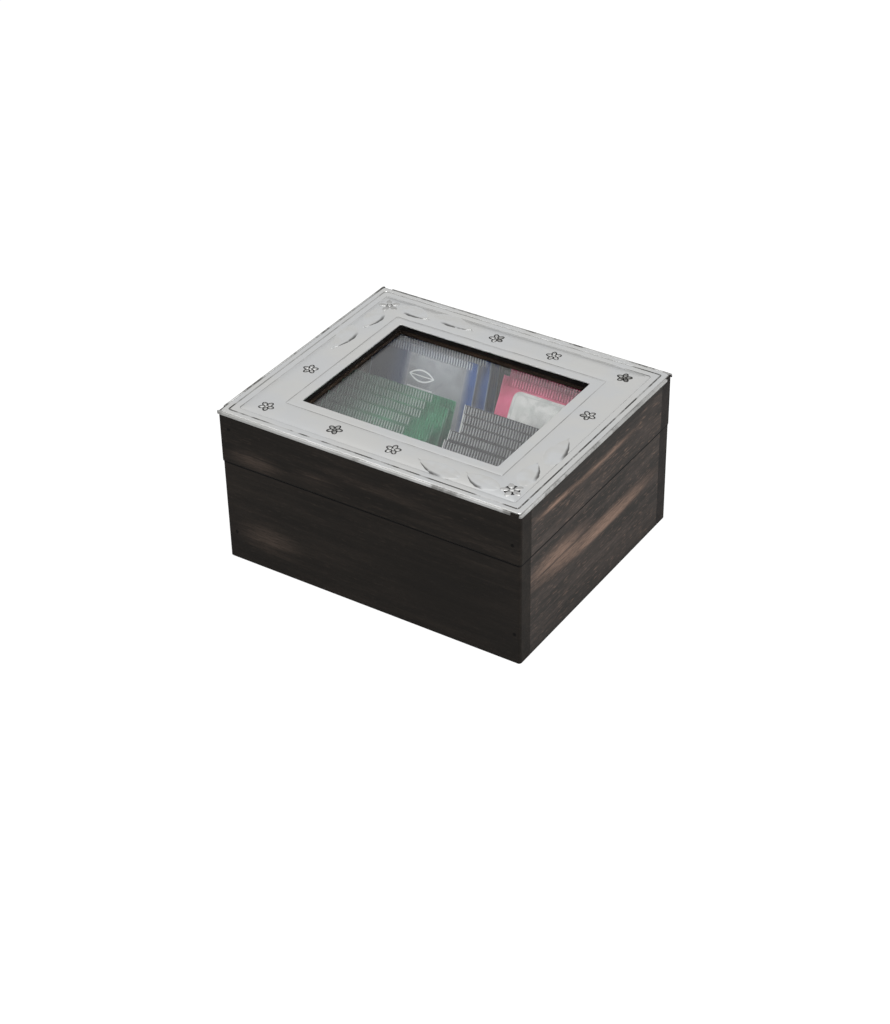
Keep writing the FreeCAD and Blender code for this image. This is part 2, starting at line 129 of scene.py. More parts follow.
def named(name):
    """Names the piece that was just added."""
    piece = bpy.context.active_object
    piece.name = name
    piece.data.name = name
    return piece


def pick(kind, test):
    """In edit mode, selects the corners, edges or faces that pass the test."""
    bpy.ops.mesh.select_mode(type=kind)
    bpy.ops.mesh.select_all(action="DESELECT")
    mesh = bmesh.from_edit_mesh(bpy.context.active_object.data)
    parts = {"VERT": mesh.verts, "EDGE": mesh.edges, "FACE": mesh.faces}[kind]
    for part in parts:
        if test(part):
            part.select_set(True)
    mesh.select_flush_mode()
    bmesh.update_edit_mesh(bpy.context.active_object.data)


def near(a, b, slack=1e-6):
    """Equal but for rounding."""
    return abs(a - b) < slack


def edit():
    """Into edit mode."""
    bpy.ops.object.mode_set(mode="EDIT")


def done():
    """Out of edit mode."""
    bpy.ops.object.mode_set(mode="OBJECT")


def move(x=0.0, y=0.0, z=0.0):
    """Moves the selection."""
    bpy.ops.transform.translate(value=(x, y, z))


def stretch(x, y, z, about=(0.0, 0.0, 0.0)):
    """Scales the selection about a point."""
    bpy.ops.transform.resize(value=(x, y, z), center_override=about)


def turn(degrees, axis="Z", about=(0.0, 0.0, 0.0)):
    """Turns the selection anticlockwise as seen from the axis's tip."""
    bpy.ops.transform.rotate(value=-math.radians(degrees), orient_axis=axis, center_override=about)


def finish_modifier(piece, kind, **settings):
    """Adds a modifier to the piece and applies it."""
    bpy.context.view_layer.objects.active = piece
    modifier = piece.modifiers.new(kind.lower(), kind)
    for key, value in settings.items():
        setattr(modifier, key, value)
    bpy.ops.object.modifier_apply(modifier=modifier.name)


def hold(piece):
    """Selects this piece alone."""
    clear_selection()
    piece.select_set(True)
    bpy.context.view_layer.objects.active = piece


def hold_all_of(piece):
    """Goes into edit mode on the piece with all of it selected."""
    hold(piece)
    edit()
    bpy.ops.mesh.select_all(action="SELECT")


def settle(piece):
    """Puts the piece's place, turn and size into its mesh."""
    hold(piece)
    bpy.ops.object.transform_apply(location=True, rotation=True, scale=True)


def smooth(piece, degrees):
    """Shades the piece smooth, but for edges sharper than this."""
    hold(piece)
    bpy.ops.object.shade_smooth_by_angle(angle=math.radians(degrees))


def point_outwards():
    """In edit mode, merges doubles and turns every face outwards."""
    bpy.ops.mesh.select_all(action="SELECT")
    bpy.ops.mesh.remove_doubles(threshold=1e-6)
    bpy.ops.mesh.normals_make_consistent(inside=False)


def copy_of(piece, name):
    """A copy with a mesh of its own."""
    hold(piece)
    bpy.ops.object.duplicate(linked=False)
    return named(name)


def joined(pieces, name):
    """Makes one piece of several."""
    clear_selection()
    for piece in pieces:
        piece.select_set(True)
    bpy.context.view_layer.objects.active = pieces[0]
    bpy.ops.object.join()
    return named(name)


def dress(piece, body, slot, *materials):
    """The piece rides on a body and gets its finish."""
    for material in materials:
        piece.data.materials.append(material)
    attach(piece, body)
    return piece


# ------------------------ materials
def tint(red, green, blue):
    """A colour from the usual 0-255 scale."""
    levels = []
    for level in (red, green, blue):
        level = level / 255
        levels.append(level / 12.92 if level <= 0.04045 else ((level + 0.055) / 1.055) ** 2.4)
    return (levels[0], levels[1], levels[2], 1.0)


def new_material(name):
    """A material with its node tree and its main shader."""
    material = bpy.data.materials.new(name)
    material.use_nodes = True
    tree = material.node_tree
    return material, tree, tree.nodes["Principled BSDF"]


def add(tree, kind, **settings):
    """A new node in the tree."""
    node = tree.nodes.new("ShaderNode" + kind)
    for key, value in settings.items():
        setattr(node, key, value)
    return node


def feed(tree, socket, value):
    """Links a socket, or sets it to a plain value."""
    if isinstance(value, bpy.types.NodeSocket):
        tree.links.new(value, socket)
    else:
        socket.default_value = value


def maths(tree, operation, a, b=0.0, clamp=False):
    """The result of one sum; a and b are sockets or plain values."""
    node = add(tree, "Math", operation=operation, use_clamp=clamp)
    feed(tree, node.inputs[0], a)
    feed(tree, node.inputs[1], b)
    return node.outputs[0]


def fade(tree, value, low, high):
    """0 at low and 1 at high, eased between."""
    node = add(tree, "MapRange", interpolation_type="SMOOTHSTEP")
    feed(tree, node.inputs["Value"], value)
    node.inputs["From Min"].default_value = low
    node.inputs["From Max"].default_value = high
    return node.outputs["Result"]


def blended(tree, share, first, second):
    """The first colour at share 0, the second at share 1."""
    node = add(tree, "Mix", data_type="RGBA", blend_type="MIX")
    feed(tree, node.inputs["Factor"], share)
    feed(tree, node.inputs["A"], first)
    feed(tree, node.inputs["B"], second)
    return node.outputs["Result"]


def object_place(tree):
    """The place on the piece, in metres."""
    return add(tree, "TexCoord").outputs["Object"]


def split(tree, vector):
    """The three parts of a place."""
    node = add(tree, "SeparateXYZ")
    tree.links.new(vector, node.inputs[0])
    return node.outputs["X"], node.outputs["Y"], node.outputs["Z"]


def sized(tree, place, scale, shift=(0.0, 0.0, 0.0)):
    """The place, scaled and then shifted."""
    node = add(tree, "Mapping")
    tree.links.new(place, node.inputs["Vector"])
    node.inputs["Location"].default_value = shift
    node.inputs["Scale"].default_value = scale
    return node.outputs["Vector"]


def noise(tree, place, scale, detail=4.0, roughness=0.5, distortion=0.0):
    """A soft random pattern, about 0 to 1."""
    node = add(tree, "TexNoise")
    tree.links.new(place, node.inputs["Vector"])
    node.inputs["Scale"].default_value = scale
    node.inputs["Detail"].default_value = detail
    node.inputs["Roughness"].default_value = roughness
    node.inputs["Distortion"].default_value = distortion
    return node.outputs["Fac"]


def bumped(tree, shader, height, distance, strength):
    """Fine relief from a pattern; distance in metres."""
    node = add(tree, "Bump")
    node.inputs["Distance"].default_value = distance
    node.inputs["Strength"].default_value = strength
    tree.links.new(height, node.inputs["Height"])
    tree.links.new(node.outputs["Normal"], shader.inputs["Normal"])


def uneven_roughness(tree, shader, pattern, low, high):
    """Roughness that runs from low to high with a pattern."""
    node = add(tree, "MapRange")
    tree.links.new(pattern, node.inputs["Value"])
    node.inputs["To Min"].default_value = low
    node.inputs["To Max"].default_value = high
    tree.links.new(node.outputs["Result"], shader.inputs["Roughness"])


def shown(tree, output, share, first, second):
    """Sends the first shader to an output node at share 0, the second at share 1."""
    mix = add(tree, "MixShader")
    tree.links.new(share, mix.inputs[0])
    tree.links.new(first.outputs[0], mix.inputs[1])
    tree.links.new(second.outputs[0], mix.inputs[2])
    tree.links.new(mix.outputs[0], tree.nodes[output].inputs["Surface"])


def worn_patch(tree, place, centre, reach):
    """1 at the centre of a patch, fading to 0 at its reach along each axis; in millimetres."""
    scale = tuple(1 / (r * MM) for r in reach)
    shift = tuple(-c / r for c, r in zip(centre, reach))
    length = add(tree, "VectorMath", operation="LENGTH")
    tree.links.new(sized(tree, place, scale, shift), length.inputs[0])
    return fade(tree, length.outputs["Value"], 1.0, 0.0)


def stained_wood(name, grain, dark, middle, light, patches, seed, shades=(), flecked=0.10):
    """A dark stained board. Its grain runs along X or Y.

    Light patches and dark shades are (centre, reach, strength), and some shades are painted shade;
    flecked is how strongly short light flecks show in the grain. A painted shade darkens the seam
    between base and lid, on the outside alone.
    """
    material, tree, shader = new_material(name)
    place = object_place(tree)

    def drawn_out(along, across):
        """The place, scaled along and across the grain."""
        scale = (along, across, across) if grain == "X" else (across, along, across)
        return sized(tree, place, scale, (seed, 2 * seed, -seed))

    cloud = noise(tree, drawn_out(14, 55), 1.0, 3.0, 0.55, 0.6)
    figure = noise(tree, drawn_out(9, 190), 1.0, 5.0, 0.6, 0.9)
    fibre = noise(tree, drawn_out(60, 1150), 1.0, 4.0, 0.7)
    pores = noise(tree, drawn_out(190, 2600), 1.0, 2.0, 0.5)

    share = maths(tree, "MULTIPLY", fade(tree, figure, 0.38, 0.72), 0.38)
    share = maths(tree, "ADD", share, maths(tree, "MULTIPLY", fade(tree, cloud, 0.42, 0.75), 0.35))
    colour = blended(tree, share, dark, middle)
    for centre, reach, strength in patches:
        patch = worn_patch(tree, place, centre, reach)
        streaky = maths(tree, "MULTIPLY", patch, fade(tree, figure, 0.22, 0.55))
        streaky = maths(tree, "MULTIPLY", streaky, fade(tree, fibre, 0.10, 0.62))
        colour = blended(tree, maths(tree, "MULTIPLY", streaky, strength, clamp=True), colour, light)
    colour = blended(tree, maths(tree, "MULTIPLY", fade(tree, fibre, 0.50, 0.85), 0.35), colour, middle)
    colour = blended(tree, maths(tree, "MULTIPLY", fade(tree, pores, 0.50, 0.30), 0.60), colour, dark)
    flecks = noise(tree, drawn_out(150, 900), 1.0, 3.0, 0.6)
    colour = blended(tree, maths(tree, "MULTIPLY", fade(tree, flecks, 0.54, 0.74), flecked), colour, light)
    # each shade darkens the board towards its dark colour; on the right boards most of them are painted
    # shade
    for centre, reach, strength in shades:
        shade = maths(tree, "MULTIPLY", worn_patch(tree, place, centre, reach), strength)
        colour = blended(tree, shade, colour, dark)
    x, y, z = split(tree, place)
    # painted shade: the seam between base and lid is darkened almost to black, on the outer skin alone
    from_seam = maths(tree, "ABSOLUTE", maths(tree, "SUBTRACT", z, SEAM_HEIGHT * MM))
    painted_seam_shade = maths(tree, "MULTIPLY", fade(tree, from_seam, 0.95 * MM, 0.55 * MM), 0.97)
    past_side = maths(tree, "SUBTRACT", maths(tree, "ABSOLUTE", x), SKIN_HALF_W * MM)
    past_front = maths(tree, "SUBTRACT", maths(tree, "ABSOLUTE", y), SKIN_HALF_D * MM)
    skin = fade(tree, maths(tree, "MAXIMUM", past_side, past_front), -0.3 * MM, 0.3 * MM)
    painted_seam_shade = maths(tree, "MULTIPLY", painted_seam_shade, skin)
    colour = blended(tree, painted_seam_shade, colour, (0.0012, 0.0011, 0.001, 1.0))
    tree.links.new(colour, shader.inputs["Base Color"])
    uneven_roughness(tree, shader, fibre, 0.52, 0.72)
    shader.inputs["Specular IOR Level"].default_value = 0.10
    grooves = maths(tree, "ADD", maths(tree, "MULTIPLY", fibre, 0.6), maths(tree, "MULTIPLY", pores, 0.4))
    bumped(tree, shader, grooves, 0.00025, 0.5)
    return material


def make_silver(name, bright, warm, tarnish_share, tarnish_colour, roughness, kept_clean=0.0):
    """Thin rolled silver plate, a little wavy; tarnish lies in patches over its share of the surface.

    Where the plate was wiped most, at the back and left, kept_clean of the tarnish is gone.
    """
    material, tree, shader = new_material(name)
    place = object_place(tree)
    cloud = noise(tree, place, 38, 3.0, 0.5)
    colour = blended(tree, fade(tree, cloud, 0.35, 0.65), bright, warm)
    low, high = tarnish_share
    patchy = noise(tree, place, 75, 4.0, 0.6)
    share = fade(tree, patchy, low, high)
    x, y, _ = split(tree, place)
    front = fade(tree, y, -60 * MM, -76 * MM)
    right = fade(tree, x, 68 * MM, 88 * MM)
    wiped = maths(tree, "SUBTRACT", 1.0, maths(tree, "MAXIMUM", front, right))
    share = maths(tree, "MULTIPLY", share,
                  maths(tree, "SUBTRACT", 1.0, maths(tree, "MULTIPLY", wiped, kept_clean)))
    colour = blended(tree, share, colour, tarnish_colour)
    tree.links.new(colour, shader.inputs["Base Color"])
    shader.inputs["Metallic"].default_value = 1.0
    uneven_roughness(tree, shader, noise(tree, place, 120, 4.0, 0.6), roughness, roughness + 0.08)
    bumped(tree, shader, noise(tree, place, 26, 2.0, 0.4), 0.0010, 0.25)
    return material


def make_leaf_silver():
    """Silver for the embossed leaves, with a painted shade in patches along the lower side of each."""
    material, tree, shader = new_material("leaf_silver")
    place = object_place(tree)
    u, v, _ = split(tree, add(tree, "UVMap", uv_map="UVMap").outputs["UV"])
    patchy = noise(tree, place, 180, 2.0, 0.5)
    # painted shade: a dark crescent in patches along each leaf's lower side
    edge = maths(tree, "MULTIPLY", fade(tree, v, 0.20, 0.06), fade(tree, patchy, 0.22, 0.46))
    ends = maths(tree, "MULTIPLY", fade(tree, u, 0.22, 0.48), fade(tree, u, 1.0, 0.86))
    edge = maths(tree, "MULTIPLY", edge, ends)
    bright = blended(tree, fade(tree, noise(tree, place, 90, 2.0), 0.35, 0.65),
                     SILVER, tint(206, 206, 204))
    colour = blended(tree, maths(tree, "MULTIPLY", edge, 0.85), bright, tint(66, 65, 63))
    tree.links.new(colour, shader.inputs["Base Color"])
    shader.inputs["Metallic"].default_value = 1.0
    shader.inputs["Roughness"].default_value = 0.38
    bumped(tree, shader, noise(tree, place, 140, 3.0, 0.5), 0.0004, 0.4)
    return material


def aged_metal(name, base, deep):
    """Brushed brass or steel with darker spots of age."""
    material, tree, shader = new_material(name)
    place = object_place(tree)
    spots = noise(tree, place, 420, 5.0, 0.65)
    colour = blended(tree, fade(tree, spots, 0.42, 0.68), base, deep)
    tree.links.new(colour, shader.inputs["Base Color"])
    shader.inputs["Metallic"].default_value = 1.0
    uneven_roughness(tree, shader, spots, 0.28, 0.50)
    brushed = noise(tree, sized(tree, place, (260, 3000, 3000)), 1.0, 2.0)
    bumped(tree, shader, brushed, 0.00008, 0.5)
    return material


def make_pane():
    """Clear window glass with faint smears; it lets the lamps through to the packs."""
    material, tree, shader = new_material("window_pane")
    shader.inputs["Transmission Weight"].default_value = 1.0
    shader.inputs["Roughness"].default_value = 0.0
    shader.inputs["IOR"].default_value = 1.5
    smears = fade(tree, noise(tree, object_place(tree), 35, 3.0, 0.6), 0.40, 0.66)
    colour = blended(tree, smears, (0.97, 0.985, 0.98, 1.0), (0.90, 0.93, 0.92, 1.0))
    tree.links.new(colour, shader.inputs["Base Color"])
    clear = add(tree, "BsdfTransparent")
    shown(tree, "Material Output", add(tree, "LightPath").outputs["Is Shadow Ray"], shader, clear)
    return material


def rounded_field(tree, u, v, centre, half, radius, soft=0.15):
    """1 inside a rounded rectangle of the pack's face; in millimetres."""
    x = maths(tree, "ABSOLUTE", maths(tree, "SUBTRACT", u, centre[0]))
    y = maths(tree, "ABSOLUTE", maths(tree, "SUBTRACT", v, centre[1]))
    x = maths(tree, "MAXIMUM", maths(tree, "SUBTRACT", x, half[0] - radius), 0.0)
    y = maths(tree, "MAXIMUM", maths(tree, "SUBTRACT", y, half[1] - radius), 0.0)
    far = maths(tree, "SQRT", maths(tree, "ADD", maths(tree, "MULTIPLY", x, x),
                                    maths(tree, "MULTIPLY", y, y)))
    return fade(tree, far, radius + soft, radius - soft)


def leaf_mark(tree, u, v, centre, half):
    """1 on the outline and midrib of a small plain leaf; in millimetres."""
    x = maths(tree, "SUBTRACT", u, centre[0])
    y = maths(tree, "ABSOLUTE", maths(tree, "SUBTRACT", v, centre[1]))
    share = maths(tree, "DIVIDE", x, half[0])
    bow = maths(tree, "SUBTRACT", 1.0, maths(tree, "MULTIPLY", share, share))
    bow = maths(tree, "MULTIPLY", bow, half[1])
    outline = fade(tree, maths(tree, "ABSOLUTE", maths(tree, "SUBTRACT", y, bow)), 0.60, 0.35)
    within = fade(tree, maths(tree, "ABSOLUTE", share), 1.06, 1.02)
    midrib = fade(tree, y, 0.40, 0.20)
    return maths(tree, "MULTIPLY", maths(tree, "MAXIMUM", outline, midrib), within)


def printed_foil(name, left, right, deep, rib_highlights, edge_highlight_colour, label, line, label_box, label_soft, rules,
                 leaf, rib_span, shine):
    """Sealed foil: its ground runs from one colour at the left to another at the right.

    It carries one plain label with a thin line round it, thin rules (centre, half length) and a leaf
    on the label. Each pressed rib carries a painted highlight on its crest, running from one colour to
    another in the same way, and a painted shade in its valley; the side edges carry a painted highlight.
    """
    material, tree, shader = new_material(name)
    place = object_place(tree)
    share_x, share_y, _ = split(tree, add(tree, "UVMap", uv_map="face").outputs["UV"])
    u = maths(tree, "MULTIPLY", share_x, PACK_WIDTH)
    v = maths(tree, "MULTIPLY", share_y, PACK_HEIGHT)
    across = fade(tree, u, 4.0, rib_span[1] + 4.0)
    cloud = noise(tree, place, 55, 3.0, 0.5)
    colour = blended(tree, across, left, right)
    colour = blended(tree, maths(tree, "MULTIPLY", fade(tree, cloud, 0.38, 0.68), 0.6), colour, deep)
    centre, half = label_box
    outer = rounded_field(tree, u, v, centre, half, 5.0, label_soft)
    soft_shade = fade(tree, noise(tree, place, 85, 3.0, 0.5, 1.2), 0.40, 0.62)
    shaded = blended(tree, maths(tree, "MULTIPLY", soft_shade, 0.35), label, (0.14, 0.14, 0.145, 1.0))
    colour = blended(tree, outer, colour, shaded)
    rim = rounded_field(tree, u, v, centre, (half[0] - 1.6, half[1] - 1.6), 3.6)
    inner = rounded_field(tree, u, v, centre, (half[0] - 2.1, half[1] - 2.1), 3.1)
    colour = blended(tree, maths(tree, "SUBTRACT", rim, inner, clamp=True), colour, line)
    for rule_centre, half_length in rules:
        rule = rounded_field(tree, u, v, rule_centre, (half_length, 0.4), 0.3)
        colour = blended(tree, maths(tree, "MULTIPLY", rule, 0.7), colour, tint(222, 223, 225))
    if leaf:
        mark = leaf_mark(tree, u, v, *leaf)
        colour = blended(tree, maths(tree, "MULTIPLY", mark, 0.9), colour, tint(228, 229, 230))

    from_middle = maths(tree, "ABSOLUTE", maths(tree, "SUBTRACT", v, PACK_HEIGHT / 2))
    sealed = fade(tree, from_middle, PACK_HEIGHT / 2 - CRIMP + 0.9, PACK_HEIGHT / 2 - CRIMP + 1.4)
    trim = fade(tree, from_middle, PACK_HEIGHT / 2 - 0.1, PACK_HEIGHT / 2 - 0.7)
    sealed = maths(tree, "MULTIPLY", sealed, trim)
    ribbed = maths(tree, "MULTIPLY", fade(tree, u, rib_span[0] - 0.6, rib_span[0] + 0.6),
                   fade(tree, u, rib_span[1] + 0.6, rib_span[1] - 0.6))
    sealed = maths(tree, "MULTIPLY", sealed, ribbed)
    wave = maths(tree, "SINE", maths(tree, "MULTIPLY", share_x, 2 * math.pi * CRIMP_RIBS))
    # painted highlight on each rib's crest, and painted shade in the deep colour in each valley
    painted_rib_highlight = maths(tree, "MULTIPLY", fade(tree, wave, 0.15, -0.55), sealed)
    painted_rib_shade = maths(tree, "MULTIPLY", fade(tree, wave, 0.0, 0.7), sealed)
    colour = blended(tree, maths(tree, "MULTIPLY", painted_rib_shade, 0.6), colour, deep)
    colour = blended(tree, painted_rib_highlight, colour, blended(tree, across, rib_highlights[0], rib_highlights[1]))
    # painted highlight along both side edges of the pack, where the foil turns
    painted_edge_highlight = fade(tree, maths(tree, "ABSOLUTE", maths(tree, "SUBTRACT", u, PACK_WIDTH / 2)),
                PACK_WIDTH / 2 - 0.8, PACK_WIDTH / 2 - 0.2)
    colour = blended(tree, maths(tree, "MULTIPLY", painted_edge_highlight, 0.7), colour, edge_highlight_colour)
    tree.links.new(colour, shader.inputs["Base Color"])
    shader.inputs["Metallic"].default_value = shine
    uneven_roughness(tree, shader, noise(tree, place, 120, 2.0), 0.32, 0.44)
    shader.inputs["Specular IOR Level"].default_value = 0.35
    puckers = noise(tree, sized(tree, place, (150, 45, 45)), 1.0, 1.0, 0.4)
    bumped(tree, shader, puckers, 0.0010, 0.35)
    return material


# ------------------------ silver plate
def draw_in(ring, inset_to, drop=0.0):
    """Extrudes the selected ring of edges and draws it to a new size, lowering it by drop."""
    half_w, half_d = ring
    bpy.ops.mesh.extrude_edges_move(TRANSFORM_OT_translate={"value": (0, 0, -drop * MM)})
    stretch(inset_to[0] / half_w, inset_to[1] / half_d, 1)
    return inset_to


def plate_sheet():
    """The sheet: a rim, two engraved lines, the plain field, one more line and the window's lip."""
    clear_selection()
    bpy.ops.mesh.primitive_plane_add(size=2 * MM, location=(0, 0, PLATE_TOP * MM))
    sheet = named("plate_sheet")
    settle(sheet)
    hold_all_of(sheet)
    ring = (PLATE_HALF_W - SHEET_SETBACK, PLATE_HALF_D - SHEET_SETBACK)
    stretch(ring[0], ring[1], 1)
    bpy.ops.mesh.bevel(offset=SHEET_CORNER * MM, segments=5, affect="VERTICES")
    bpy.ops.mesh.delete(type="ONLY_FACE")
    bpy.ops.mesh.select_mode(type="EDGE")
    bpy.ops.mesh.select_all(action="SELECT")
    move(z=-RIM_RISE * MM)
    outer = [(RIM_SLOPE[0], 0.0), (RIM_SLOPE[1], -RIM_RISE), (4.5, 0.0), (4.7, 0.22), (5.1, -0.05),
             (5.5, -0.17), (7.2, -0.12), (9.1, 0.12), (9.4, 0.22), (9.8, 0.0), (10.1, -0.22)]
    for inset, drop in outer:
        ring = draw_in(ring, (PLATE_HALF_W - inset, PLATE_HALF_D - inset), drop)
    inner = [(INNER_LINE + INNER_LINE_WIDTH, 0.0), (INNER_LINE + 0.4, 0.14), (INNER_LINE + 0.2, 0.0),
             (INNER_LINE, -0.14), (2.5, 0.0), (2.1, 0.08), (1.3, -0.16),
             (0.9, -0.06), (0.4, 0.04), (0.12, 0.06), (0.0, 0.1), (0.0, 0.6)]
    for inset, drop in inner:
        ring = draw_in(ring, (WINDOW_HALF_W + inset, WINDOW_HALF_D + inset), drop)
    bpy.ops.mesh.select_all(action="SELECT")
    bpy.ops.mesh.normals_make_consistent(inside=False)
    done()
    if sum(face.normal.z for face in sheet.data.polygons) < 0:
        hold_all_of(sheet)
        bpy.ops.mesh.flip_normals()
        done()
    finish_modifier(sheet, "SOLIDIFY", thickness=SHEET_THICKNESS * MM, offset=-1.0, use_even_offset=True)
    return sheet


def tarnish_lines(sheet):
    """Gives the engraved grooves of the sheet its second finish, and the near rim's slope the third."""
    def in_groove(face):
        middle = face.calc_center_median()
        if middle.z < (PLATE_TOP - 1.0) * MM:
            return False
        x = abs(middle.x) / MM
        y = abs(middle.y) / MM
        for low, high in OUTER_GROOVES:
            if low <= PLATE_HALF_W - x <= high and y <= PLATE_HALF_D - low + 0.2:
                return True
            if low <= PLATE_HALF_D - y <= high and x <= PLATE_HALF_W - low + 0.2:
                return True
        low, high = INNER_LINE, INNER_LINE + INNER_LINE_WIDTH
        if low <= x - WINDOW_HALF_W <= high and y <= WINDOW_HALF_D + high:
            return True
        return low <= y - WINDOW_HALF_D <= high and x <= WINDOW_HALF_W + high

    def on_rim(face):
        middle = face.calc_center_median() / MM
        if middle.z < PLATE_TOP - 1.0:
            return False
        return RIM_SLOPE[0] < min(PLATE_HALF_D + middle.y, PLATE_HALF_W - middle.x) < RIM_SLOPE[1]

    hold(sheet)
    edit()
    for slot, test in ((1, in_groove), (2, on_rim)):
        pick("FACE", test)
        sheet.active_material_index = slot
        bpy.ops.object.material_slot_assign()
    done()


def plate_lip(name, length, out, turn_steps):
    """One rolled outer lip, along -Y before it is turned: from a corner to just short of the next."""
    clear_selection()
    bpy.ops.mesh.primitive_cube_add(size=MM, location=(0, 0, 0))
    lip = named(name)
    hold_all_of(lip)
    stretch(2 * length - LIP_NOTCH, LIP_WIDTH, LIP_DROP)
    move(x=-LIP_NOTCH / 2 * MM, y=(-out + LIP_WIDTH / 2) * MM, z=(PLATE_TOP - LIP_DROP / 2) * MM)
    front = -out * MM
    high = PLATE_TOP * MM
    start = -length * MM

    def corner_edge(edge):
        a, b = edge.verts[0].co, edge.verts[1].co
        return near(a.x, start) and near(b.x, start) and near(a.y, front) and near(b.y, front)

    def top_edge(edge):
        a, b = edge.verts[0].co, edge.verts[1].co
        return near(a.z, high) and near(b.z, high)

    pick("EDGE", corner_edge)
    bpy.ops.mesh.bevel(offset=1.3 * MM, segments=5, affect="EDGES")
    pick("EDGE", top_edge)
    bpy.ops.mesh.bevel(offset=0.55 * MM, segments=4, affect="EDGES")
    bpy.ops.mesh.select_all(action="SELECT")
    for _ in range(turn_steps):
        turn(90)
    point_outwards()
    done()
    return lip


def crowned_disc(name, sides, shoulder, crown, tip=0.0):
    """A boss of radius and height 1: drawn up, rolled over and closed; tip draws it to a point."""
    clear_selection()
    bpy.ops.mesh.primitive_circle_add(vertices=sides, radius=1.0, fill_type="NGON")
    boss = named(name)
    edit()
    pick("VERT", lambda v: v.co.x > 0.99)
    move(x=tip)
    bpy.ops.mesh.select_all(action="SELECT")
    bpy.ops.mesh.extrude_region_move(TRANSFORM_OT_translate={"value": (0, 0, shoulder)})
    stretch(0.88, 0.88, 1, (0, 0, shoulder))
    bpy.ops.mesh.extrude_region_move(TRANSFORM_OT_translate={"value": (0, 0, (1 - shoulder) * 0.75)})
    stretch(crown, crown, 1, (0, 0, 1))
    bpy.ops.mesh.extrude_region_move(TRANSFORM_OT_translate={"value": (0, 0, (1 - shoulder) * 0.25)})
    stretch(0.4, 0.4, 1, (0, 0, 1))
    point_outwards()
    done()
    return boss


def shaped(piece, size, spin, at):
    """Sizes a boss, turns it about its own upright and sets it on the sheet; in millimetres."""
    hold_all_of(piece)
    stretch(size[0] * MM, size[1] * MM, size[2] * MM)
    turn(spin)
    move(at[0] * MM, at[1] * MM, at[2] * MM)
    done()
    return piece


def blossom(name, petal_pattern, boss, x, y, ring, petal, spin, slim, middle):
    """Petals round a middle. A petal's width is slim times its length."""
    sunk = PLATE_TOP - 0.06
    parts = []
    for i in range(PETALS):
        angle = spin + 360 / PETALS * i
        away = math.radians(angle)
        at = (x + ring * math.cos(away), y + ring * math.sin(away), sunk)
        part = copy_of(petal_pattern, name + "_petal")
        parts.append(shaped(part, (petal, petal * slim, RELIEF), angle, at))
    part = copy_of(boss, name + "_middle")
    parts.append(shaped(part, (middle, middle, RELIEF * MIDDLE_RISE), 0, (x, y, sunk)))
    return joined(parts, name)


def blossom_ground(name, pattern, x, y, ring, petal, spin):
    """The dark recess under each petal: a thin layer a little wider than the petal."""
    parts = []
    for i in range(PETALS):
        angle = spin + 360 / PETALS * i
        away = math.radians(angle)
        at = (x + ring * math.cos(away), y + ring * math.sin(away), PLATE_TOP - GROUND_SINK)
        part = copy_of(pattern, name + "_disc")
        parts.append(shaped(part, (petal + 0.65, petal * 0.95, 0.33), angle, at))
    return joined(parts, name)


def round_ground(name, pattern, x, y, radius):
    """One round recess under a whole flower."""
    return shaped(copy_of(pattern, name), (radius, radius, 0.32), 0, (x, y, PLATE_TOP - GROUND_SINK))


def flat_disc(name):
    """A disc of radius and height 1."""
    clear_selection()
    bpy.ops.mesh.primitive_circle_add(vertices=20, radius=1.0, fill_type="NGON")
    disc = named(name)
    hold_all_of(disc)
    bpy.ops.mesh.extrude_region_move(TRANSFORM_OT_translate={"value": (0, 0, 1)})
    point_outwards()
    done()
    return disc


def leaf_outline(t):
    """Half width of a leaf at the share t of its length, with very soft lobes."""
    body = math.sin(math.pi * t ** 0.85) ** 0.75 if 0 < t < 1 else 0.0
    lobe = (t * LEAF_LOBES) % 1.0
    return max(0.02, body * (0.95 + 0.05 * math.sin(math.pi * lobe)))


def embossed_leaf(name, length, width, bow):
    """A lobed leaf drawn up from the sheet, its stalk at the origin and its tip along X."""
    clear_selection()
    bpy.ops.mesh.primitive_grid_add(x_subdivisions=LEAF_COLUMNS, y_subdivisions=10, size=1.0,
                                    location=(0.5, 0, 0))
    leaf = named(name)
    settle(leaf)
    edit()
    for share, rise in LEAF_ROWS:
        pick("VERT", lambda v: near(abs(v.co.y) * 2, share, 1e-3))
        move(x=-LEAF_SWEEP * share, z=rise)
    for column in range(LEAF_COLUMNS + 1):
        t = column / LEAF_COLUMNS
        pick("VERT", lambda v: near(v.co.x + LEAF_SWEEP * abs(v.co.y) * 2, t, 1e-3))
        lobe = (t * LEAF_LOBES) % 1.0
        tall = RELIEF * 1.05 * math.sin(math.pi * min(1.0, t + 0.02)) ** 0.4 if 0 < t < 1 else 0.02
        tall *= 0.80 + 0.20 * math.sin(math.pi * lobe)
        stretch(1, leaf_outline(t) * width / length, tall / length, (t, 0, 0))
        move(y=bow * math.sin(math.pi * t) / length)
    bpy.ops.mesh.select_all(action="SELECT")
    stretch(length * MM, length * MM, length * MM)
    done()
    finish_modifier(leaf, "SUBSURF", levels=1, render_levels=1)
    finish_modifier(leaf, "SOLIDIFY", thickness=0.3 * MM, offset=-1.0)
    return leaf


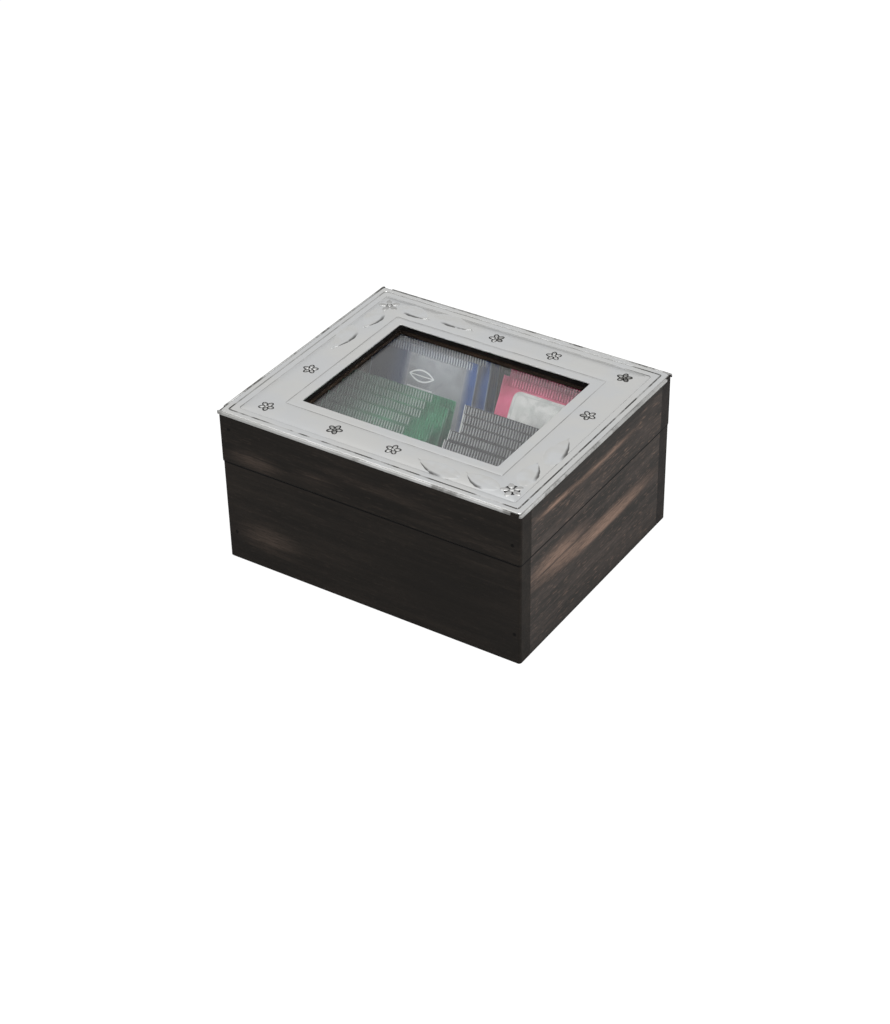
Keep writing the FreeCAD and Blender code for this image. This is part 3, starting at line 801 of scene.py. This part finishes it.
def spray_leaves(half_turn, tag):
    """The four leaves of one corner; half_turn puts them at the opposite corner.

    Each leaf's map is laid so that its lower side, where the painted shade sits, faces the same way.
    """
    leaves = []
    for number, (along, out, length, angle) in enumerate(SPRAY_LEAVES, 1):
        for side in ("long", "short"):
            leaf = embossed_leaf("leaf_" + tag + side + str(number), length, LEAF_WIDTH, LEAF_BOW)
            if side == "long":
                x, y, spin = -FLOWER_X + along, FLOWER_Y + out, angle
            else:
                x, y, spin = -FLOWER_X - out, FLOWER_Y - along, -90 - angle
            hold_all_of(leaf)
            turn(spin)
            move(x * MM, y * MM, (PLATE_TOP - 0.03) * MM)
            if half_turn:
                turn(180)
            done()
            # flips the map so that the painted shade lies on the same side of every leaf
            if (side == "long") == half_turn:
                for corner in leaf.data.uv_layers["UVMap"].data:
                    corner.uv.y = 1 - corner.uv.y
            leaves.append(leaf)
    return leaves


def plate_lips(near_finish, far_finish):
    """The four outer lips; the front and right ones are the near ones."""
    sizes = ((PLATE_HALF_W, PLATE_HALF_D), (PLATE_HALF_D, PLATE_HALF_W)) * 2
    for step, side in enumerate(("front", "right", "back", "left")):
        length, out = sizes[step]
        lip = plate_lip("plate_lip_" + side, length, out, step)
        dress(lip, "lid", "silver", near_finish if side in ("front", "right") else far_finish)
        smooth(lip, 50)


def plate_flowers(flower_finish, ground_finish):
    """A flower at two corners and four small rosettes beside each, on their dark grounds."""
    boss = crowned_disc("boss_pattern", 12, 0.55, 0.62)
    round_petal = crowned_disc("round_petal_pattern", 12, 0.55, 0.62)
    sharp_petal = crowned_disc("sharp_petal_pattern", 12, 0.50, 0.66, 0.30)
    disc = flat_disc("ground_pattern")
    flowers, grounds = [], []
    for sign, tag, ground in zip((-1, 1), ("back", "front"), FLOWER_GROUNDS):
        x, y = sign * FLOWER_X, -sign * FLOWER_Y
        flowers.append(blossom("flower_" + tag, round_petal, boss, x, y, FLOWER_RING, FLOWER_PETAL,
                               126, 0.66, 1.5))
        grounds.append(round_ground("flower_ground_" + tag, disc, x, y, ground))
    places = [(FIELD_HALF_W - step, FIELD_HALF_D) for step in ROSETTE_STEPS_X]
    places.append((FIELD_HALF_W, FIELD_HALF_D - ROSETTE_STEP_Y))
    places += [(-x, -y) for x, y in places]
    for number, (x, y) in enumerate(places, 1):
        spin = 90 + 11 * number
        name = "rosette_" + str(number)
        flowers.append(blossom(name, sharp_petal, boss, x, y, ROSETTE_RING, ROSETTE_PETAL - 0.25, spin,
                               0.74, 0.9))
        grounds.append(blossom_ground(name + "_ground", disc, x, y, ROSETTE_RING, ROSETTE_PETAL, spin))
    for pattern in (boss, round_petal, sharp_petal, disc):
        bpy.data.objects.remove(pattern)
    flower_work = joined(flowers, "plate_flowers")
    dress(flower_work, "lid", "silver", flower_finish)
    smooth(flower_work, 60)
    dress(joined(grounds, "plate_flower_grounds"), "lid", "silver", ground_finish)


def make_plate(finish):
    """The whole silver plate; finish holds the material of each kind of surface."""
    sheet = plate_sheet()
    dress(sheet, "lid", "silver", finish["sheet"], finish["line"], finish["rim"])
    tarnish_lines(sheet)
    smooth(sheet, 35)
    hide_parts("silver_plate")

    plate_lips(finish["near_lip"], finish["far_lip"])
    plate_flowers(finish["flower"], finish["ground"])
    leaves = spray_leaves(False, "back_") + spray_leaves(True, "front_")
    leaf_work = joined(leaves, "plate_leaves")
    dress(leaf_work, "lid", "silver", finish["leaf"])
    smooth(leaf_work, 60)


# ------------------------ tea packs
def lay_face_map(piece):
    """A flat map of the pack's face: across and up as shares of its size."""
    layer = piece.data.uv_layers.new(name="face")
    for loop in piece.data.loops:
        spot = piece.data.vertices[loop.vertex_index].co
        layer.data[loop.index].uv = (spot.x / (PACK_WIDTH * MM) + 0.5, spot.z / (PACK_HEIGHT * MM))


def ribbed_crimp(name, low):
    """A sealed strip pressed into upright ribs; low is its lower edge."""
    clear_selection()
    bpy.ops.mesh.primitive_grid_add(x_subdivisions=CRIMP_RIBS * 4, y_subdivisions=2, size=1.0,
                                    rotation=(math.pi / 2, 0, 0))
    strip = named(name)
    settle(strip)
    step = 1.0 / (CRIMP_RIBS * 4)
    edit()
    for quarter, push in ((1, RIB_DEPTH), (3, -RIB_DEPTH)):
        pick("VERT", lambda v: round((v.co.x + 0.5) / step) % 4 == quarter)
        move(y=push)
    bpy.ops.mesh.select_all(action="SELECT")
    stretch(PACK_WIDTH * MM, MM, CRIMP * MM)
    move(z=(low + CRIMP / 2) * MM)
    done()
    finish_modifier(strip, "SOLIDIFY", thickness=FOIL * MM, offset=0.0)
    return strip


def foil_pillow(name, columns=30, rows=34):
    """The filled part: a front and a back sheet, fullest in the middle, closed at the sides."""
    reach = (PACK_HEIGHT - 2 * CRIMP) / 2 + 0.6
    middle = PACK_HEIGHT / 2
    swell = PACK_THICKNESS / 2
    sheets = []
    for side in (-1, 1):
        clear_selection()
        bpy.ops.mesh.primitive_grid_add(x_subdivisions=columns, y_subdivisions=rows, size=2.0,
                                        rotation=(math.pi / 2, 0, 0))
        sheet = named(name + ("_front" if side < 0 else "_back"))
        settle(sheet)
        hold_all_of(sheet)
        move(y=side)
        for column in range(columns + 1):
            s = -1 + 2 * column / columns
            pick("VERT", lambda v: near(v.co.x, s, 1e-4))
            stretch(1, max(0.0, 1 - s * s) ** 0.9, 1, (s, 0, 0))
        for row in range(rows + 1):
            t = -1 + 2 * row / rows
            pick("VERT", lambda v: near(v.co.z, t, 1e-4))
            stretch(1, 0.10 + 0.90 * max(0.0, 1 - t * t) ** 0.9, 1, (0, 0, t))
        bpy.ops.mesh.select_all(action="SELECT")
        stretch(PACK_WIDTH / 2 * MM, swell * MM, reach * MM)
        move(z=middle * MM)
        done()
        sheets.append(sheet)
    pillow = joined(sheets, name)
    edit()
    point_outwards()
    pick("EDGE", lambda e: e.is_boundary)
    bpy.ops.mesh.edge_face_add()
    point_outwards()
    done()
    return pillow


def make_packs(foils):
    """Every pack from one pattern, leaning as its solid leans, with its own crinkles."""
    pillow = foil_pillow("pack_pillow")
    strips = [ribbed_crimp("crimp_low", 0.0), ribbed_crimp("crimp_high", PACK_HEIGHT - CRIMP)]
    pattern = joined([pillow] + strips, "pack_pattern")
    lay_face_map(pattern)
    crinkle = bpy.data.textures.new("crinkle", "CLOUDS")
    crinkle.noise_scale = 0.013
    crinkle.noise_depth = 2
    reach = math.hypot(PACK_HEIGHT, CRIMP_THICKNESS)
    slope = math.atan2(CRIMP_THICKNESS, PACK_HEIGHT)
    for node in sorted(n for n in nodes if n.startswith("pack_")):
        low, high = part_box(node)
        lean = math.asin((high.y - low.y) / MM / reach) - slope
        pack = copy_of(pattern, node + "_foil")
        hold_all_of(pack)
        turn(-math.degrees(lean), "X")
        half = CRIMP_THICKNESS / 2 * MM
        move((low.x + high.x) / 2, low.y + half * math.cos(lean), low.z + half * math.sin(lean))
        done()
        finish_modifier(pack, "DISPLACE", texture=crinkle, texture_coords="LOCAL",
                        strength=0.0007, mid_level=0.5)
        colour = node.split("_")[1]
        dress(pack, "box", "pack_foil_" + colour, foils[colour])
        smooth(pack, 50)
        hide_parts(node)
    bpy.data.objects.remove(pattern)


# ------------------------ hinges
def screw_head(name):
    """A slotted screw head that faces +Y."""
    clear_selection()
    bpy.ops.mesh.primitive_cylinder_add(vertices=24, radius=SCREW_RADIUS * MM, depth=SCREW_DEPTH * MM,
                                        rotation=(-math.pi / 2, 0, 0))
    head = named(name)
    settle(head)
    edit()
    pick("EDGE", lambda e: all(v.co.y > 0.2 * MM for v in e.verts))
    bpy.ops.mesh.bevel(offset=0.22 * MM, segments=3, affect="EDGES")
    done()
    bpy.ops.mesh.primitive_cube_add(size=MM, location=(0, SCREW_DEPTH / 2 * MM, 0),
                                    scale=(3.2, 0.4, 0.4))
    slot = named(name + "_slot")
    settle(slot)
    finish_modifier(head, "BOOLEAN", operation="DIFFERENCE", object=slot, solver="EXACT")
    bpy.data.objects.remove(slot)
    return head


def make_screws(finish):
    """Two screws in each hinge leaf, each slot turned its own way."""
    pattern = screw_head("screw_pattern")
    for side in ("left", "right"):
        for body, part in (("box", "base"), ("lid", "lid")):
            low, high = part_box("hinge_" + part + "_leaf_" + side)
            middle = (low.x + high.x) / 2
            outward = low.y + HINGE_LEAF * MM
            level = low.z + SCREW_EDGE * MM if part == "base" else high.z - SCREW_EDGE * MM
            heads = []
            for number, step in enumerate((-SCREW_STEP, SCREW_STEP), 1):
                head = copy_of(pattern, "screw_" + part + side + str(number))
                hold_all_of(head)
                turn(37 * number + (20 if side == "left" else 65), "Y")
                move(middle + step * MM, outward, level)
                done()
                heads.append(head)
            screws = joined(heads, "hinge_" + part + "_screws_" + side)
            dress(screws, body, "brass", finish)
            smooth(screws, 35)
    bpy.data.objects.remove(pattern)


# ------------------------ stage
def make_camera():
    """The view from the front and right, above the box."""
    data = bpy.data.cameras.new("camera")
    data.lens = LENS
    data.sensor_width = 36.0
    camera = bpy.data.objects.new("camera", data)
    bpy.context.scene.collection.objects.link(camera)
    heading = Matrix.Rotation(math.radians(EYE_HEADING), 4, "Z")
    tilt = Matrix.Rotation(math.radians(90 - EYE_DOWN), 4, "X")
    roll = Matrix.Rotation(math.radians(EYE_ROLL), 4, "Z")
    camera.rotation_euler = (heading @ tilt @ roll).to_euler()
    camera.location = EYE_PLACE
    bpy.context.scene.camera = camera


def softbox(name, place, size, power):
    """A square lamp that points at the box and isn't itself seen through the pane."""
    data = bpy.data.lights.new(name, "AREA")
    data.shape = "RECTANGLE"
    data.size = size
    data.size_y = size
    data.energy = power
    lamp = bpy.data.objects.new(name, data)
    bpy.context.scene.collection.objects.link(lamp)
    lamp.location = place
    lamp.rotation_euler = (Vector(LAMP_AIM) - Vector(place)).to_track_quat("-Z", "Y").to_euler()
    lamp.visible_transmission = False


def sight(tree):
    """What a ray is: seen straight, also through glass, or seen mirrored."""
    path = add(tree, "LightPath")
    bounced = maths(tree, "ADD", path.outputs["Diffuse Depth"], path.outputs["Glossy Depth"], clamp=True)
    through = path.outputs["Is Transmission Ray"]
    straight = maths(tree, "MULTIPLY", through, maths(tree, "SUBTRACT", 1.0, bounced))
    straight = maths(tree, "ADD", straight, path.outputs["Is Camera Ray"], clamp=True)
    return straight, path.outputs["Is Glossy Ray"]


def make_stage():
    """The floor, the white all round and the three lamps."""
    clear_selection()
    bpy.ops.mesh.primitive_plane_add(size=6.0, location=(0, 0, 0))
    floor = named("studio_floor")
    material, tree, shader = new_material("pale_floor")
    shader.inputs["Base Color"].default_value = (0.82, 0.82, 0.82, 1.0)
    shader.inputs["Roughness"].default_value = 0.9
    shader.inputs["Specular IOR Level"].default_value = 0.0
    glow = add(tree, "Emission")
    glow.inputs["Strength"].default_value = 1.15
    straight, _ = sight(tree)
    shown(tree, "Material Output", maths(tree, "MULTIPLY", straight, 0.80), shader, glow)
    floor.data.materials.append(material)

    world = bpy.data.worlds.new("studio")
    bpy.context.scene.world = world
    world.use_nodes = True
    tree = world.node_tree
    dim = tree.nodes["Background"]
    dim.inputs["Color"].default_value = (1.0, 1.0, 1.0, 1.0)
    dim.inputs["Strength"].default_value = 0.42
    white = add(tree, "Background")
    white.inputs["Strength"].default_value = 1.0
    straight, mirrored = sight(tree)
    shown(tree, "World Output", maths(tree, "ADD", straight, mirrored, clamp=True), dim, white)

    softbox("key_box", (1.25, -0.15, 0.75), 0.8, 11.0)
    softbox("top_box", (0.05, -0.35, 1.5), 0.6, 12.0)
    softbox("fill_box", (-0.68, -1.04, 0.92), 0.32, 2.2)
    bpy.context.scene.view_settings.view_transform = "Standard"


# ------------------------ finishes
def give(start, material):
    """Gives every CAD piece whose name starts so this finish."""
    for name, piece in nodes.items():
        if name.startswith(start):
            if not piece.material_slots:
                piece.data.materials.append(material)
            for slot in piece.material_slots:
                slot.material = material


DARK = tint(24, 22, 21)
UMBER = tint(48, 41, 38)
TAN = tint(112, 92, 80)

front_patches = (
    ((-70, -84, 21), (30, 14, 15), 0.42),
    ((-76, -84, 74), (26, 14, 8), 0.40),
    ((-34, -84, 77), (22, 14, 5), 0.28),
    ((10, -84, 84), (60, 14, 6), 0.12),
)
# the base's front is darker towards the right
front_darker_right = (((55, -84, 31), (85, 14, 34), 0.75),)
# the front boards' stain is darker than the one stain of the box: painted shade on top of what the lamps
# give
front_boards_painted_shade = stained_wood("stained_wood_front_painted_shade", "X", tint(21, 18, 15), tint(44, 38, 33),
                          tint(96, 82, 73), front_patches, 0.0, front_darker_right)
wood_back = stained_wood("stained_wood_back", "X", DARK, UMBER, TAN, (), 3.7)
wood_top = stained_wood("stained_wood_top", "X", tint(9, 8, 8), tint(22, 18, 16), TAN, (), 7.1)
right_streaks = (
    ((100, -46, 87.5), (9, 28, 2.6), 1.0),
    ((100, 2, 86), (9, 60, 3.0), 0.7),
    ((100, -44, 49), (9, 44, 13), 0.75),
    ((100, 10, 42), (9, 75, 8), 0.75),
    ((100, 10, 39), (9, 60, 4.0), 0.9),
)
# painted shade under the plate's lip (97 mm up) and along the foot (0 mm), and a thin darker band at 33 mm
right_band_and_painted_shade = (
    ((100, 0, 97), (12, 400, 7.5), 0.85),
    ((100, 10, 33), (12, 90, 4), 0.55),
    ((100, 0, 0), (12, 400, 8), 0.9),
    ((100, 0, 0), (12, 400, 3.4), 1.0),
)
# the right boards' stain is lighter than the one stain of the box: painted light on top of what the lamps
# give; the left and back boards follow the same split
right_boards_painted_light = stained_wood("stained_wood_right_painted_light", "Y", tint(41, 39, 37), tint(84, 74, 69),
                          tint(144, 118, 103), right_streaks, 1.3, right_band_and_painted_shade, 0.32)
wood_left = stained_wood("stained_wood_left", "Y", tint(34, 30, 28), tint(66, 56, 50), TAN, (), 5.9)
inner_wood = stained_wood("inner_wood", "X", tint(38, 30, 25), tint(70, 56, 46), TAN, (), 9.3)
inner_wood_side = stained_wood("inner_wood_side", "Y", tint(38, 30, 25), tint(70, 56, 46), TAN, (), 11.0)

for board in ("base_front_board", "lid_front_board"):
    give(board, front_boards_painted_shade)
for board in ("base_back_board", "lid_back_board"):
    give(board, wood_back)
for board in ("base_right_board", "lid_right_board"):
    give(board, right_boards_painted_light)
for board in ("base_left_board", "lid_left_board"):
    give(board, wood_left)
give("lid_top_panel", wood_top)
give("base_bottom_panel", inner_wood)
give("divider_long", inner_wood)
give("divider_cross", inner_wood_side)
give("glass_bead_front", inner_wood)
give("glass_bead_back", inner_wood)
give("glass_bead_left", inner_wood_side)
give("glass_bead_right", inner_wood_side)
give("window_glass", make_pane())

brass = aged_metal("aged_brass", tint(172, 140, 86), tint(138, 108, 62))
give("hinge_", brass)
nail_steel = aged_metal("dark_nail_steel", tint(18, 17, 16), tint(7, 6, 6))
give("base_nail", nail_steel)
give("lid_nail", nail_steel)
make_screws(brass)

make_plate({
    "sheet": make_silver("silver_sheet", SILVER, tint(213, 213, 211), (0.9, 1.0), tint(180, 180, 178),
                         0.26),
    "line": make_silver("silver_line", tint(196, 196, 195), tint(176, 176, 174), (0.36, 0.54),
                        tint(84, 83, 81), 0.34, 0.75),
    "ground": make_silver("silver_tarnish", tint(62, 61, 60), tint(46, 45, 44), (0.38, 0.55),
                          tint(24, 23, 22), 0.5),
    "flower": make_silver("silver_boss", tint(180, 180, 179), tint(160, 160, 158), (0.50, 0.66),
                          tint(100, 99, 97), 0.5),
    "far_lip": make_silver("silver_worn_edge", tint(176, 176, 175), tint(160, 160, 158), (0.46, 0.62),
                           tint(96, 95, 93), 0.55),
    "near_lip": make_silver("silver_lip", tint(182, 182, 181), tint(168, 168, 166), (0.50, 0.66),
                            tint(126, 125, 123), 0.60),
    "rim": make_silver("silver_rim", tint(198, 198, 197), tint(184, 184, 182), (0.62, 0.80),
                       tint(140, 140, 138), 0.42),
    "leaf": make_leaf_silver(),
})

# in each foil, the pair of colours after the deep one is the painted highlight on the rib crests, at left
# and right, and the next colour is the painted highlight on the side edges
foils = {
    "blue": printed_foil("foil_blue", tint(54, 62, 80), tint(34, 74, 136), tint(24, 40, 74),
                         (tint(104, 112, 126), tint(196, 200, 206)), tint(150, 158, 172),
                         tint(146, 148, 153), tint(146, 148, 153), ((47, 46), (21, 40)), 3.5,
                         (((38, 58.5), 9.0), ((40, 56), 11.0)), ((38, 66), (8.5, 3.4)), (12, 70), 0.3),
    "crimson": printed_foil("foil_crimson", tint(196, 84, 118), tint(186, 38, 84), tint(140, 16, 54),
                            (tint(228, 122, 152), tint(234, 132, 160)), tint(198, 106, 134),
                            tint(186, 186, 184), tint(160, 160, 160), ((39.6, 51.5), (30, 25)), 0.2,
                            (), None, (6.5, 73), 0.12),
    "green": printed_foil("foil_green", tint(48, 56, 52), tint(44, 112, 80), tint(22, 54, 42),
                          (tint(76, 88, 82), tint(146, 154, 150)), tint(96, 128, 112),
                          tint(84, 92, 88), tint(84, 92, 88), ((38, 40), (16, 34)), 2.0,
                          (), None, (2, 58), 0.25),
    "black": printed_foil("foil_black", tint(46, 47, 49), tint(46, 47, 48), tint(28, 29, 31),
                          (tint(152, 153, 155), tint(146, 147, 149)), tint(226, 226, 226),
                          tint(78, 79, 81), tint(120, 120, 120), ((37, 46), (27, 25)), 0.4,
                          (), None, (1, 73), 0.35),
}
make_packs(foils)

make_camera()
make_stage()
